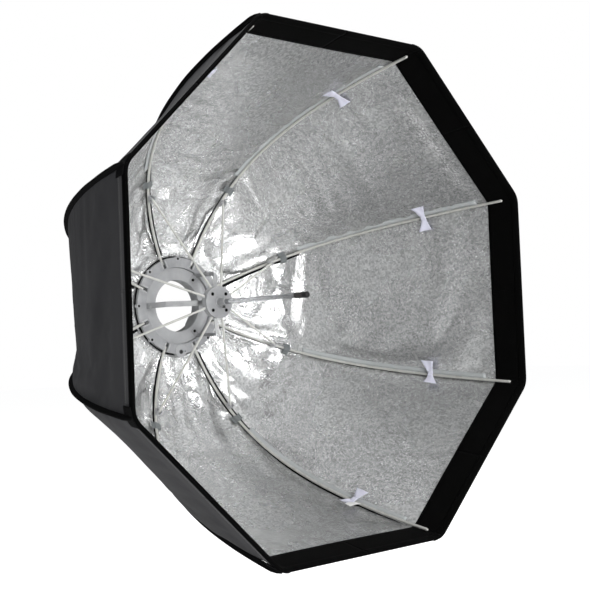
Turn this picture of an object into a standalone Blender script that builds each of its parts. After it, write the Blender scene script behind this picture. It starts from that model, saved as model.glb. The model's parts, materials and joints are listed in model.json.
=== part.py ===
"""Eight-sided softbox (octabox) on an umbrella frame, with a bayonet speedring for a studio lamp.

The model is drawn in a working frame whose +Z is the way the light goes, and one empty turns that
frame so that the light goes to -Y and +Z is up. The origin is the centre of the plate's rear face,
where the lamp is fastened. Lengths are metres and angles are degrees.
"""

import math

import bmesh
import bpy
from mathutils import Matrix, Vector

# ---- driving dimensions ---------------------------------------------------------------------
SIDES = 8
STEP = 360 / SIDES
RIB_ANGLES = [STEP / 2 + STEP * i for i in range(SIDES)]
GAP = 0.0003  # left between faces that touch on the real object
THROUGH = 0.03  # length of a cutter that goes right through

# Ribs: a bent spring rod, drawn as one cubic curve from the hinge to the tip, as (radius, height).
HINGE_R = 0.080
HINGE_Z = 0.026
RIB_START_PULL = (0.204, 0.014)
RIB_END_PULL = (0.291, 0.174)
RIB_TIP = (0.343, 0.466)
RIB_ROD_R = 0.0025
RIB_STUB = 0.0017  # rod left behind the hinge pin
RIB_JOINT_AT = 0.249  # share of the curve where the stretcher is fastened

# Fabric
SEAM_OFFSET = 0.0055  # from the rib's centre line out to the cloth's inner face
CLOTH_T = 0.0015
LIP_BEYOND_TIP = 0.026
CLOTH_START = 0.03  # share of the rib where the cloth's mouth is
CLOTH_FLAT_FROM = 0.30  # share of the rib where the round mouth has turned into flat sides
CLOTH_DIP = 0.010  # how far the middle of a gore is pulled in
SEAM_GAP = 0.0004
GORE_ROWS = 13
GORE_COLS = 3

# Speedring
FLANGE_R, FLANGE_HOLE_R = 0.0910, 0.0722
FLANGE_BACK, FLANGE_FRONT = 0.0235, 0.0310
SLOT_W, SLOT_FROM_R = 0.0064, 0.0745
HINGE_WIRE_R, PIN_HOLE_R = 0.00105, 0.00135
SLOT_L = 0.0300
CHEEK = (0.0125, 0.0028, 0.0026)  # along the radius, across, height
CHEEK_AT, CHEEK_SUNK = 0.0822, 0.0008
LOBE_R, LOBE_AT, LOBE_HOLE_R = 0.0045, 0.0885, 0.0017
BOSS_ANGLE, BOSS_R, BOSS_AT = 270, 0.0125, 0.0850
ROD_HOLE_R, ROD_HOLE_AT = 0.0042, 0.0870  # takes an umbrella's rod
ROD_SCREW_HOLE_R, ROD_SCREW_ANGLE = 0.0013, 276
CLAMP_R, CLAMP_INNER_R, CLAMP_BACK = 0.0865, 0.0535, 0.0031
PLATE_SEAT_R = 0.0726
PLATE_HOLE_R, PLATE_R = 0.0490, 0.0720
SLEEVE_R = 0.0525
RECESS_Z, PLATE_T = 0.0245, 0.0027
LEG_SCREW_HOLE_R, LEG_SCREW_AT = 0.0016, 0.0600
LUG_COUNT, LUG_FIRST, LUG_ARC, LUG_H = 3, 90, 26, 0.0090
LUG_AT, LUG_T = 0.0530, 0.0050
HOOK_AT, HOOK_REACH, HOOK_H = 0.0550, 0.0085, 0.0026
HEM_INNER_R, HEM_R, HEM_BACK = 0.0869, 0.0890, 0.0065

# Bracket, shaft and runner
LEG_ANGLES = {"left": 180, "upper": 54, "lower": -54}
LEG_W, LEG_T = 0.0100, 0.0016
LEG_FOOT_R, LEG_R, LEG_BEND_Z, LEG_TOP_Z = 0.0560, 0.0703, 0.0930, 0.1345
LEG_FOOT_BEND, LEG_BEND = 0.0020, 0.0090
SOCKET_R, SOCKET_BACK, SOCKET_FRONT = 0.0105, 0.1280, 0.1425
SHAFT_R, SHAFT_END = 0.0045, 0.3715
CAP_R, CAP_END = 0.0052, 0.4030
RUNNER_R, RUNNER_BORE_R = 0.0290, 0.0049
RUNNER_PIVOT_R, RUNNER_PIVOT_Z = 0.0255, 0.1520
REAR_PLATE = (0.1460, 0.1551)  # back and front heights
FRONT_PLATE = (0.1554, 0.1594)
COLLAR_R, COLLAR = 0.0070, (0.1597, 0.1812)
RUNNER_SCREWS, RUNNER_SCREW_AT, RUNNER_SCREW_R = 4, 0.0205, 0.0019
RUNNER_SCREW_L, RUNNER_SCREW_Z = 0.0105, 0.1522
LATCH_Z = 0.1725
LATCH_STEM_R, LATCH_HEAD_R = 0.0018, 0.0030
LATCH_INNER_R, LATCH_HEAD_FROM, LATCH_OUTER_R = 0.0063, 0.0090, 0.0110  # along its own axis
WIRE_R = 0.0011
NOTCH_W, NOTCH_FROM_R = 0.0052, 0.0185

# Stretchers and the forks that hold them to the ribs
STRETCHER_R = 0.0022
FORK_OFFSET = 0.0125  # from the rib's centre line to the fork's pivot
FORK_L, FORK_GAP, FORK_WALL = 0.0120, 0.0026, 0.0012
FORK_SADDLE = (0.0032, 0.0050)  # from the rib's centre line
FORK_EAR = 0.0030  # the ears' reach beyond the pivot
STRETCHER_STUB = 0.0023

# ---- scene, materials and small helpers -----------------------------------------------------
for leftover in list(bpy.data.objects):
    bpy.data.objects.remove(leftover, do_unlink=True)

octabox = bpy.data.collections.new("octabox")
cutters = bpy.data.collections.new("octabox_cutters")
bpy.context.scene.collection.children.link(octabox)
bpy.context.scene.collection.children.link(cutters)


def material(name, colour, roughness, metallic=0.0):
    made = bpy.data.materials.new(name)
    made.use_nodes = True
    shader = made.node_tree.nodes["Principled BSDF"]
    shader.inputs["Base Color"].default_value = (*colour, 1.0)
    shader.inputs["Roughness"].default_value = roughness
    shader.inputs["Metallic"].default_value = metallic
    return made


GREY_PAINT = material("grey_painted_casting", (0.38, 0.39, 0.40), 0.45)
SILVER_PLATE = material("satin_aluminium", (0.55, 0.56, 0.57), 0.35, 1.0)
CHROME = material("chromed_steel", (0.75, 0.75, 0.76), 0.12, 1.0)
BLACK_PLASTIC = material("black_moulded_plastic", (0.012, 0.012, 0.013), 0.5)
BLACK_STEEL = material("blackened_screw_steel", (0.03, 0.03, 0.03), 0.4, 0.8)
IVORY = material("ivory_coated_rod", (0.75, 0.75, 0.70), 0.4)
CLOTH = material("black_and_silver_cloth", (0.05, 0.05, 0.055), 0.8)
WEBBING = material("black_webbing", (0.015, 0.015, 0.016), 0.9)


def direction(angle):
    return Vector((math.cos(math.radians(angle)), math.sin(math.radians(angle)), 0))


def turn_z(angle):
    return Matrix.Rotation(math.radians(angle), 4, "Z")


def empty(name, parent=None, at=(0, 0, 0), angle=0):
    made = bpy.data.objects.new(name, None)
    made.empty_display_size = 0.02
    made.parent = parent
    made.location = at
    made.rotation_euler = (0, 0, math.radians(angle))
    octabox.objects.link(made)
    return made


LIGHT_AXIS = empty("light_axis")
LIGHT_AXIS.rotation_euler = (math.radians(90), 0, 0)


def place(name, data, finish, parent=LIGHT_AXIS):
    """A part of the model, as an object named for it."""
    if not data.materials:
        data.materials.append(finish)
    made = bpy.data.objects.new(name, data)
    made.parent = parent
    octabox.objects.link(made)
    return made


def place_cutter(name, data):
    made = bpy.data.objects.new(name, data)
    made.parent = LIGHT_AXIS
    octabox.objects.link(made)
    make_cutter(made)
    return made


def make_cutter(part):
    """Turns a part into a helper that is only cut with."""
    octabox.objects.unlink(part)
    cutters.objects.link(part)
    part.hide_render = True
    part.display_type = "WIRE"


def mesh_from(name, shape):
    """The bmesh as a mesh with its faces out and its round sides smooth. It frees the bmesh."""
    bmesh.ops.recalc_face_normals(shape, faces=shape.faces)
    made = bpy.data.meshes.new(name)
    shape.to_mesh(made)
    shape.free()
    made.shade_smooth()
    made.set_sharp_from_angle(angle=math.radians(35))
    return made


def add_box(shape, size, where):
    bmesh.ops.create_cube(shape, size=1, matrix=where @ Matrix.Diagonal((*size, 1)))


def add_cylinder(shape, radius, length, where, segments=12):
    bmesh.ops.create_cone(
        shape,
        cap_ends=True,
        segments=segments,
        radius1=radius,
        radius2=radius,
        depth=length,
        matrix=where,
    )


def at(angle, radius, height):
    """The place on the working frame at this angle, radius and height, with X along the radius."""
    return turn_z(angle) @ Matrix.Translation((radius, 0, height))


ALONG_TANGENT = Matrix.Rotation(math.radians(90), 4, "X")
ALONG_RADIUS = Matrix.Rotation(math.radians(90), 4, "Y")


def turned(name, profile, finish, steps=48, closed=True):
    """A turned part. The profile's points are (radius, height), down the outer side."""
    made = bpy.data.meshes.new(name)
    count = len(profile)
    edges = [(i, (i + 1) % count) for i in range(count if closed else count - 1)]
    made.from_pydata([(r, 0, z) for r, z in profile], edges, [])
    part = place(name, made, finish)
    screw = part.modifiers.new("turn", "SCREW")
    screw.axis = "Z"
    screw.steps = screw.render_steps = steps
    screw.use_merge_vertices = True
    screw.merge_threshold = 0.00001
    screw.use_smooth_shade = True
    return part


def turned_ring(name, inner, outer, back, front, finish, steps=48):
    profile = [(outer, front), (outer, back), (inner, back), (inner, front)]
    return turned(name, profile, finish, steps)


def cut(part, cutter, operation="DIFFERENCE"):
    modifier = part.modifiers.new(cutter.name, "BOOLEAN")
    modifier.operation = operation
    modifier.solver = "EXACT"
    modifier.object = cutter


def rod_mesh(name, points, radius, handles=None, resolution=22):
    """A round rod as a closed mesh: straight through the points or, with handles, one smooth curve."""
    curve = bpy.data.curves.new(name, "CURVE")
    curve.dimensions = "3D"
    curve.bevel_depth = radius
    curve.bevel_resolution = 2
    curve.use_fill_caps = True
    curve.resolution_u = resolution
    if handles is None:
        spline = curve.splines.new("POLY")
        spline.points.add(len(points) - 1)
        for point, place_at in zip(spline.points, points):
            point.co = (*place_at, 1)
    else:
        spline = curve.splines.new("BEZIER")
        spline.bezier_points.add(len(points) - 1)
        for point, place_at, pair in zip(spline.bezier_points, points, handles):
            point.handle_left_type = point.handle_right_type = "FREE"
            point.co = place_at
            point.handle_left, point.handle_right = pair
    guide = bpy.data.objects.new(name, curve)
    bpy.context.scene.collection.objects.link(guide)
    graph = bpy.context.evaluated_depsgraph_get()
    evaluated = bpy.data.meshes.new_from_object(guide.evaluated_get(graph))
    bpy.data.objects.remove(guide)
    bpy.data.curves.remove(curve)
    shape = bmesh.new()
    shape.from_mesh(evaluated)
    bpy.data.meshes.remove(evaluated)
    bmesh.ops.remove_doubles(shape, verts=shape.verts, dist=0.00001)
    return mesh_from(name, shape)


# ---- rib curve ------------------------------------------------------------------------------
RIB_POINTS = [Vector((0, 0)), Vector(RIB_START_PULL), Vector(RIB_END_PULL), Vector(RIB_TIP)]


def rib_point(share):
    """(radius, height) on the rib's centre line, measured from its hinge."""
    a, b, c, d = RIB_POINTS
    rest = 1 - share
    return rest**3 * a + 3 * rest**2 * share * b + 3 * rest * share**2 * c + share**3 * d


def rib_direction(share):
    a, b, c, d = RIB_POINTS
    rest = 1 - share
    along = rest**2 * (b - a) + 2 * rest * share * (c - b) + share**2 * (d - c)
    return along.normalized()


def inward(along):
    """The side of the rib that faces the light."""
    return Vector((-along.y, along.x))


JOINT_POINT = rib_point(RIB_JOINT_AT)
JOINT_ALONG = rib_direction(RIB_JOINT_AT)
FORK_PIVOT = Vector((HINGE_R, HINGE_Z)) + JOINT_POINT + FORK_OFFSET * inward(JOINT_ALONG)

# ---- speedring ------------------------------------------------------------------------------
def make_front_flange():
    flange = turned_ring(
        "front_flange", FLANGE_HOLE_R, FLANGE_R, FLANGE_BACK, FLANGE_FRONT, GREY_PAINT, 56
    )
    raised = bmesh.new()
    for angle in RIB_ANGLES:
        for side in (-1, 1):
            across = side * (SLOT_W / 2 + CHEEK[1] / 2)
            where = at(angle, CHEEK_AT, FLANGE_FRONT + CHEEK[2] / 2 - CHEEK_SUNK)
            add_box(raised, CHEEK, where @ Matrix.Translation((0, across, 0)))
    height = FLANGE_FRONT - FLANGE_BACK + 0.0004
    middle = (FLANGE_FRONT + FLANGE_BACK) / 2
    for i in range(SIDES):
        if i * STEP != BOSS_ANGLE:
            add_cylinder(raised, LOBE_R, height, at(i * STEP, LOBE_AT, middle), 16)
    add_cylinder(raised, BOSS_R, height + 0.0012, at(BOSS_ANGLE, BOSS_AT, middle), 28)
    raised_parts = place_cutter("flange_raised_parts", mesh_from("flange_raised_parts", raised))
    cut(flange, raised_parts, "UNION")

    openings = bmesh.new()
    for angle in RIB_ANGLES:
        where = at(angle, SLOT_FROM_R + SLOT_L / 2, middle)
        add_box(openings, (SLOT_L, SLOT_W, THROUGH), where)
    add_cylinder(openings, ROD_HOLE_R, THROUGH, at(BOSS_ANGLE, ROD_HOLE_AT, middle), 20)
    where = at(ROD_SCREW_ANGLE, ROD_HOLE_AT, middle)
    add_cylinder(openings, ROD_SCREW_HOLE_R, THROUGH, where, 10)
    cut(flange, place_cutter("flange_openings", mesh_from("flange_openings", openings)))

    lobe_holes = bmesh.new()
    for i in range(SIDES):
        if i * STEP != BOSS_ANGLE:
            add_cylinder(lobe_holes, LOBE_HOLE_R, THROUGH, at(i * STEP, LOBE_AT, middle), 12)
    cut(flange, place_cutter("lobe_holes", mesh_from("lobe_holes", lobe_holes)))

    side = HINGE_WIRE_R + 2 * GAP
    groove = turned_ring(
        "hinge_groove", HINGE_R - side, HINGE_R + side, FLANGE_BACK - 0.002, HINGE_Z + side,
        GREY_PAINT,
    )
    make_cutter(groove)
    cut(flange, groove)


def make_rear_ring():
    """The clamp behind the flange. It holds the hinge wire in its groove."""
    face, seat = FLANGE_BACK - 3 * GAP, RECESS_Z - PLATE_T - 2 * GAP
    chamfer = 0.0027
    profile = [
        (CLAMP_R, face), (CLAMP_R, CLAMP_BACK + chamfer), (CLAMP_R - chamfer, CLAMP_BACK),
        (CLAMP_INNER_R, CLAMP_BACK), (CLAMP_INNER_R, seat), (PLATE_SEAT_R, seat),
        (PLATE_SEAT_R, face),
    ]
    turned("rear_ring", profile, GREY_PAINT)


def make_bayonet_plate():
    """The S-type plate: a rear face for the lamp, a sleeve, a recessed front and three hooked lugs."""
    front_r = PLATE_R - GAP
    profile = [
        (front_r, RECESS_Z), (front_r, RECESS_Z - PLATE_T), (SLEEVE_R, RECESS_Z - PLATE_T),
        (SLEEVE_R, PLATE_T), (PLATE_R, PLATE_T), (PLATE_R, 0), (PLATE_HOLE_R, 0),
        (PLATE_HOLE_R, RECESS_Z),
    ]
    plate = turned("bayonet_plate", profile, SILVER_PLATE)
    lugs, hooks = bmesh.new(), bmesh.new()
    width = 2 * LUG_AT * math.sin(math.radians(LUG_ARC / 2))
    hook_size = (HOOK_REACH, width * 0.98, HOOK_H)
    for i in range(LUG_COUNT):
        angle = LUG_FIRST + i * 360 / LUG_COUNT
        add_box(lugs, (LUG_T, width, LUG_H + 0.001), at(angle, LUG_AT, 0.0005 - LUG_H / 2))
        add_box(hooks, hook_size, at(angle, HOOK_AT, 0.0001 - LUG_H + HOOK_H / 2))
    cut(plate, place_cutter("bayonet_lugs", mesh_from("bayonet_lugs", lugs)), "UNION")
    cut(plate, place_cutter("bayonet_hooks", mesh_from("bayonet_hooks", hooks)), "UNION")
    holes = bmesh.new()
    for angle in LEG_ANGLES.values():
        add_cylinder(holes, LEG_SCREW_HOLE_R, 0.004, at(angle, LEG_SCREW_AT, RECESS_Z), 12)
    cut(plate, place_cutter("leg_screw_holes", mesh_from("leg_screw_holes", holes)))


def make_wire_ring(name, radius, height, wire_r, steps):
    """A wire bent round into a ring, on which the rods of one end of the frame are threaded."""
    ring = bmesh.new()
    circle = bmesh.ops.create_circle(
        ring, cap_ends=False, segments=6, radius=wire_r,
        matrix=Matrix.Translation((radius, 0, height)) @ ALONG_TANGENT,
    )
    edges = list({edge for vert in circle["verts"] for edge in vert.link_edges})
    bmesh.ops.spin(
        ring, geom=circle["verts"] + edges, cent=(0, 0, 0), axis=(0, 0, 1),
        angle=math.radians(360), steps=steps, use_merge=True,
    )
    place(name, mesh_from(name, ring), CHROME)


make_front_flange()
make_rear_ring()
make_bayonet_plate()
make_wire_ring("rib_hinge_wire", HINGE_R, HINGE_Z, HINGE_WIRE_R, 48)


def make_throat_hem():
    """The webbing band that closes the cloth round the rear ring."""
    profile = [
        (HEM_R + 0.0068, 0.0192), (HEM_R, 0.0160), (HEM_R, HEM_BACK), (HEM_INNER_R, HEM_BACK),
        (HEM_INNER_R, 0.0200), (HEM_R + 0.0060, 0.0206),
    ]
    turned("throat_hem", profile, WEBBING)


make_throat_hem()


# ---- bracket, shaft and runner ----------------------------------------------------------------
def strip_outline(path, thickness):
    """The edge-on outline of a flat strip whose middle follows the path of (radius, height)."""
    half = thickness / 2
    sides = ([], [])
    for i, here in enumerate(path):
        before = (here - path[i - 1]).normalized() if i else None
        after = (path[i + 1] - here).normalized() if i + 1 < len(path) else None
        before, after = before or after, after or before
        along = (before + after).normalized()
        reach = half / max(along.dot(before), 0.3)
        for side, sign in zip(sides, (1, -1)):
            side.append(here + sign * reach * Vector((-along.y, along.x)))
    return sides[0] + sides[1][::-1]


def bend(corner, start, end, radius, steps=5):
    """Points round a corner between the directions from start and to end."""
    u, v = (start - corner).normalized(), (end - corner).normalized()
    half = math.acos(max(-1.0, min(1.0, u.dot(v)))) / 2
    reach = radius / math.tan(half)
    first, last = corner + u * reach, corner + v * reach
    centre = corner + (u + v).normalized() * radius / math.sin(half)
    points = []
    for i in range(steps + 1):
        mixed = (first - centre).lerp(last - centre, i / steps)
        points.append(centre + mixed.normalized() * radius)
    return points


def make_bracket():
    """Three flat legs from the plate's recess to the socket that holds the shaft."""
    foot = RECESS_Z + GAP + LEG_T / 2
    corners = [
        Vector((LEG_FOOT_R, foot)), Vector((LEG_R, foot)), Vector((LEG_R, LEG_BEND_Z)),
        Vector((SOCKET_R + 2 * GAP, LEG_TOP_Z)),
    ]
    path = [corners[0]] + bend(corners[1], corners[0], corners[2], LEG_FOOT_BEND, 3)
    path += bend(corners[2], corners[1], corners[3], LEG_BEND) + [corners[3]]
    for name, angle in LEG_ANGLES.items():
        leg = bmesh.new()
        ring = [leg.verts.new((p.x, -LEG_W / 2, p.y)) for p in strip_outline(path, LEG_T)]
        side = leg.faces.new(ring)
        pushed = bmesh.ops.extrude_face_region(leg, geom=[side])["geom"]
        far = [v for v in pushed if isinstance(v, bmesh.types.BMVert)]
        bmesh.ops.translate(leg, verts=far, vec=(0, LEG_W, 0))
        bmesh.ops.triangulate(leg, faces=[f for f in leg.faces if len(f.verts) > 4])
        part = place("bracket_leg_" + name, mesh_from("bracket_leg_" + name, leg), GREY_PAINT)
        part.rotation_euler = (0, 0, math.radians(angle))


def make_shaft():
    turned(
        "shaft_socket",
        [(0, SOCKET_FRONT), (SOCKET_R, SOCKET_FRONT), (SOCKET_R, SOCKET_BACK), (0, SOCKET_BACK)],
        GREY_PAINT, steps=24, closed=False,
    )
    front, back = SHAFT_END, SOCKET_FRONT + GAP
    turned(
        "shaft", [(0, front), (SHAFT_R, front), (SHAFT_R, back), (0, back)], CHROME,
        steps=20, closed=False,
    )
    back = SHAFT_END + GAP
    turned(
        "shaft_cap",
        [(0, CAP_END), (CAP_R - 0.0012, CAP_END), (CAP_R, CAP_END - 0.0012), (CAP_R, back), (0, back)],
        BLACK_PLASTIC, steps=20, closed=False,
    )


def make_runner():
    """Two plates that hold the stretchers' wire ring between them, a collar and its latch button."""
    rear = turned_ring("runner_rear_plate", RUNNER_BORE_R, RUNNER_R, *REAR_PLATE, GREY_PAINT, 32)
    openings = bmesh.new()
    middle = sum(REAR_PLATE) / 2
    for angle in RIB_ANGLES:
        add_box(openings, (0.02, NOTCH_W, 0.02), at(angle, NOTCH_FROM_R + 0.01, middle))
    for i in range(RUNNER_SCREWS):
        where = at(45 + 90 * i, RUNNER_SCREW_AT, middle)
        add_cylinder(openings, RUNNER_SCREW_R + GAP, THROUGH, where, 10)
    cut(rear, place_cutter("runner_notches", mesh_from("runner_notches", openings)))
    groove = turned_ring(
        "runner_groove", RUNNER_PIVOT_R - WIRE_R - GAP, RUNNER_PIVOT_R + WIRE_R + GAP,
        RUNNER_PIVOT_Z - WIRE_R - 2 * GAP, REAR_PLATE[1] + 0.001, GREY_PAINT, 32,
    )
    make_cutter(groove)
    cut(rear, groove)

    front = turned_ring(
        "runner_front_plate", RUNNER_BORE_R, RUNNER_R, *FRONT_PLATE, GREY_PAINT, 32
    )
    holes = bmesh.new()
    for i in range(RUNNER_SCREWS):
        where = at(45 + 90 * i, RUNNER_SCREW_AT, sum(FRONT_PLATE) / 2)
        add_cylinder(holes, RUNNER_SCREW_R + GAP, THROUGH, where, 12)
    cut(front, place_cutter("runner_screw_holes", mesh_from("runner_screw_holes", holes)))

    for i in range(RUNNER_SCREWS):
        screw = bmesh.new()
        where = at(45 + 90 * i, RUNNER_SCREW_AT, RUNNER_SCREW_Z)
        add_cylinder(screw, RUNNER_SCREW_R, RUNNER_SCREW_L, where, 12)
        name = f"runner_screw_{i + 1}"
        place(name, mesh_from(name, screw), BLACK_STEEL)

    make_wire_ring("stretcher_wire", RUNNER_PIVOT_R, RUNNER_PIVOT_Z, WIRE_R, 32)

    collar = turned_ring("runner_collar", RUNNER_BORE_R, COLLAR_R, *COLLAR, GREY_PAINT, 24)
    hole = bmesh.new()
    where = at(270, COLLAR_R, LATCH_Z) @ ALONG_RADIUS
    add_cylinder(hole, LATCH_STEM_R + GAP, 0.006, where, 12)
    cut(collar, place_cutter("latch_hole", mesh_from("latch_hole", hole)))
    profile = [
        (0, LATCH_OUTER_R), (LATCH_HEAD_R, LATCH_OUTER_R), (LATCH_HEAD_R, LATCH_HEAD_FROM),
        (LATCH_STEM_R, LATCH_HEAD_FROM), (LATCH_STEM_R, LATCH_INNER_R), (0, LATCH_INNER_R),
    ]
    latch = turned("latch_button", profile, BLACK_PLASTIC, steps=14, closed=False)
    latch.location = (0, 0, LATCH_Z)
    latch.rotation_euler = (math.radians(90), 0, 0)


make_bracket()
make_shaft()
make_runner()


# ---- ribs, forks and stretchers ---------------------------------------------------------------
def upright(point):
    """A (radius, height) point as a place in the plane of a rib or stretcher."""
    return Vector((point[0], 0, point[1]))


def crossed_by_pin(mesh, name, radius):
    """Cuts a pin hole through a rod at its object's origin."""
    hole = bmesh.new()
    add_cylinder(hole, radius, 0.02, ALONG_TANGENT, 10)
    cutter = bpy.data.objects.new(name, mesh_from(name, hole))
    cutter.hide_render = True
    cutter.display_type = "WIRE"
    cutters.objects.link(cutter)
    rod = bpy.data.objects.new(name + "_rod", mesh)
    bpy.context.scene.collection.objects.link(rod)
    cut(rod, cutter)
    graph = bpy.context.evaluated_depsgraph_get()
    drilled = bpy.data.meshes.new_from_object(rod.evaluated_get(graph))
    bpy.data.objects.remove(rod)
    return drilled


def make_rib_mesh():
    start = upright(rib_point(0)) - RIB_STUB * upright(rib_direction(0))
    points = [start, upright(RIB_TIP)]
    handles = [(start, upright(RIB_START_PULL)), (upright(RIB_END_PULL), upright(RIB_TIP))]
    rod = rod_mesh("rib", points, RIB_ROD_R, handles)
    return crossed_by_pin(rod, "rib_pin_hole", PIN_HOLE_R)


def make_fork_mesh():
    """Two ears on a saddle, drawn round the fork's pivot with X along the rib."""
    low, high = (height - FORK_OFFSET for height in FORK_SADDLE)
    outer = FORK_GAP + FORK_WALL
    outline = [
        (-outer, low), (outer, low), (outer, FORK_EAR), (FORK_GAP, FORK_EAR), (FORK_GAP, high),
        (-FORK_GAP, high), (-FORK_GAP, FORK_EAR), (-outer, FORK_EAR),
    ]
    fork = bmesh.new()
    face = fork.faces.new([fork.verts.new((-FORK_L / 2, y, z)) for y, z in outline])
    pushed = bmesh.ops.extrude_face_region(fork, geom=[face])["geom"]
    far = [v for v in pushed if isinstance(v, bmesh.types.BMVert)]
    bmesh.ops.translate(fork, verts=far, vec=(FORK_L, 0, 0))
    bmesh.ops.triangulate(fork, faces=[f for f in fork.faces if len(f.verts) > 4])
    return mesh_from("fork", fork)


def make_stretcher_mesh():
    reach = FORK_PIVOT - Vector((RUNNER_PIVOT_R, RUNNER_PIVOT_Z))
    along = upright(reach.normalized())
    points = [-STRETCHER_STUB * along, upright(reach) + STRETCHER_STUB * along]
    rod = rod_mesh("stretcher", points, STRETCHER_R)
    return crossed_by_pin(rod, "stretcher_wire_hole", WIRE_R + GAP)


RIB_MESH = make_rib_mesh()
FORK_MESH = make_fork_mesh()
STRETCHER_MESH = make_stretcher_mesh()
RIB_HINGES = []

for number, rib_angle in enumerate(RIB_ANGLES, start=1):
    hinge = empty(f"rib_hinge_{number}", LIGHT_AXIS, HINGE_R * direction(rib_angle), rib_angle)
    hinge.location.z = HINGE_Z
    RIB_HINGES.append(hinge)
    place(f"rib_{number}", RIB_MESH, IVORY, hinge)

    fork_part = place(f"stretcher_fork_{number}", FORK_MESH, GREY_PAINT, hinge)
    fork_part.location = upright(FORK_PIVOT - Vector((HINGE_R, HINGE_Z)))
    fork_part.rotation_euler = (0, -math.atan2(JOINT_ALONG.y, JOINT_ALONG.x), 0)

    pivot = empty(f"stretcher_pivot_{number}", LIGHT_AXIS, angle=rib_angle)
    pivot.location = RUNNER_PIVOT_R * direction(rib_angle) + Vector((0, 0, RUNNER_PIVOT_Z))
    place(f"stretcher_{number}", STRETCHER_MESH, IVORY, pivot)


# ---- cloth ------------------------------------------------------------------------------------
def seam_point(share):
    """(radius, height) of the cloth at a rib, in the working frame. Past 1 it runs on to the lip."""
    inside = min(share, 1.0)
    along = rib_direction(inside)
    beyond = max(share - 1.0, 0.0) * along
    return Vector((HINGE_R, HINGE_Z)) + rib_point(inside) - SEAM_OFFSET * inward(along) + beyond


def cloth_point(along_rib, across, side):
    """A point of half a gore: across is 0 at the rib's seam and 1 at the middle of the gore."""
    seam = seam_point(along_rib)
    half_angle = math.radians(STEP / 2)
    dip = CLOTH_DIP * math.sin(math.pi * min(max(along_rib, 0), 1))
    apothem = seam.x * math.cos(half_angle) - dip * (1 - (1 - across) ** 2)
    sideways = seam.x * math.sin(half_angle) * (1 - across)
    edge = SEAM_GAP * (1 - 2 * across)
    # X is along the middle of the gore here, and the rib is half a step away.
    flat = Vector((apothem, side * (edge - sideways)))
    round_share = max(0.0, 1 - along_rib / CLOTH_FLAT_FROM) ** 2
    flat = flat.lerp(flat.normalized() * seam.x, round_share)
    flat = Matrix.Rotation(side * half_angle, 2) @ flat
    return Vector((flat.x, flat.y, seam.y))


def make_gore_half(name, hinge, side):
    """Half a gore, from the rib's seam to the gore's middle, with its front lip."""
    sheet = bmesh.new()
    bmesh.ops.create_grid(sheet, x_segments=GORE_ROWS, y_segments=GORE_COLS, size=0.5)
    for vert in sheet.verts:
        row = round((vert.co.x + 0.5) * GORE_ROWS)
        across = vert.co.y + 0.5
        along_rib = CLOTH_START + (1 - CLOTH_START) * row / (GORE_ROWS - 1)
        if row == GORE_ROWS:
            along_rib = 1 + LIP_BEYOND_TIP
        vert.co = cloth_point(along_rib, across, side) - Vector((HINGE_R, 0, HINGE_Z))
    for face in sheet.faces:
        face.normal_update()
    outward = sum((f.normal for f in sheet.faces), Vector())
    if outward.x < 0:
        bmesh.ops.reverse_faces(sheet, faces=sheet.faces)
    made = bpy.data.meshes.new(name)
    sheet.to_mesh(made)
    sheet.free()
    made.shade_smooth()
    half = place(name, made, CLOTH, hinge)
    shell = half.modifiers.new("cloth_thickness", "SOLIDIFY")
    shell.thickness = CLOTH_T
    shell.offset = 1


for number, hinge in enumerate(RIB_HINGES, start=1):
    make_gore_half(f"gore_{number}_first_half", hinge, 1)
    make_gore_half(f"gore_{(number - 2) % SIDES + 1}_second_half", hinge, -1)
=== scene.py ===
# %% [markdown]
# # An eight-sided softbox on an umbrella frame
#
# A softbox is a cloth reflector. Eight bent spring rods hold it open, and they hinge on a cast ring
# that grips the lamp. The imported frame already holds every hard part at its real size, so this lesson
# keeps those places, gives each part its finish, and makes the cloth, tapes and screws round them.

# %% Load the frame
import json
import math
import random

import bmesh
import bpy
from mathutils import Matrix, Vector, noise


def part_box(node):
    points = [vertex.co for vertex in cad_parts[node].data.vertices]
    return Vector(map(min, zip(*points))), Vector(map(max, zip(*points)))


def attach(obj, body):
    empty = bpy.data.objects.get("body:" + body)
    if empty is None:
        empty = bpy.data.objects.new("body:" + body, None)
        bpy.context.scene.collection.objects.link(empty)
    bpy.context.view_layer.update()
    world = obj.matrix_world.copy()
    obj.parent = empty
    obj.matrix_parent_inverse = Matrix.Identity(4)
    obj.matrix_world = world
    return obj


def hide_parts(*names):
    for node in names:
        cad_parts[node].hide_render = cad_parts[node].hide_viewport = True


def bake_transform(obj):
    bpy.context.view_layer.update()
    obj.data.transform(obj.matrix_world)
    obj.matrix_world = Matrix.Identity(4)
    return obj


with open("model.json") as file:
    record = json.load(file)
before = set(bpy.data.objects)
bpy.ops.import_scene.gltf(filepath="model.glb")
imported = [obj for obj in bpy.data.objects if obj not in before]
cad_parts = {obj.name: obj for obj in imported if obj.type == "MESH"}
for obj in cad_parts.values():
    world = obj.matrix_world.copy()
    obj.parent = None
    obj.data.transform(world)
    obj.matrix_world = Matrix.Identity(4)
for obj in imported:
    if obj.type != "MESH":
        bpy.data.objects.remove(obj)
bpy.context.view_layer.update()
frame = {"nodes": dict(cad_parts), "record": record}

# %% [markdown]
# ## The camera
#
# The object is seen from its front left, a little from below, with the camera rolled by two degrees.
# A camera could be aimed with a constraint, but then the roll is awkward. Here its three axes are
# worked out and put in a matrix, which says exactly where it looks.

# %% Camera
LENS_MM, SENSOR_MM = 64.8, 36.0
AZIMUTH, ELEVATION, ROLL = (math.radians(angle) for angle in (-40.0, -2.36, -2.23))
CAMERA_AT = Vector((-1.1169, -1.7013, -0.0709))


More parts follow.
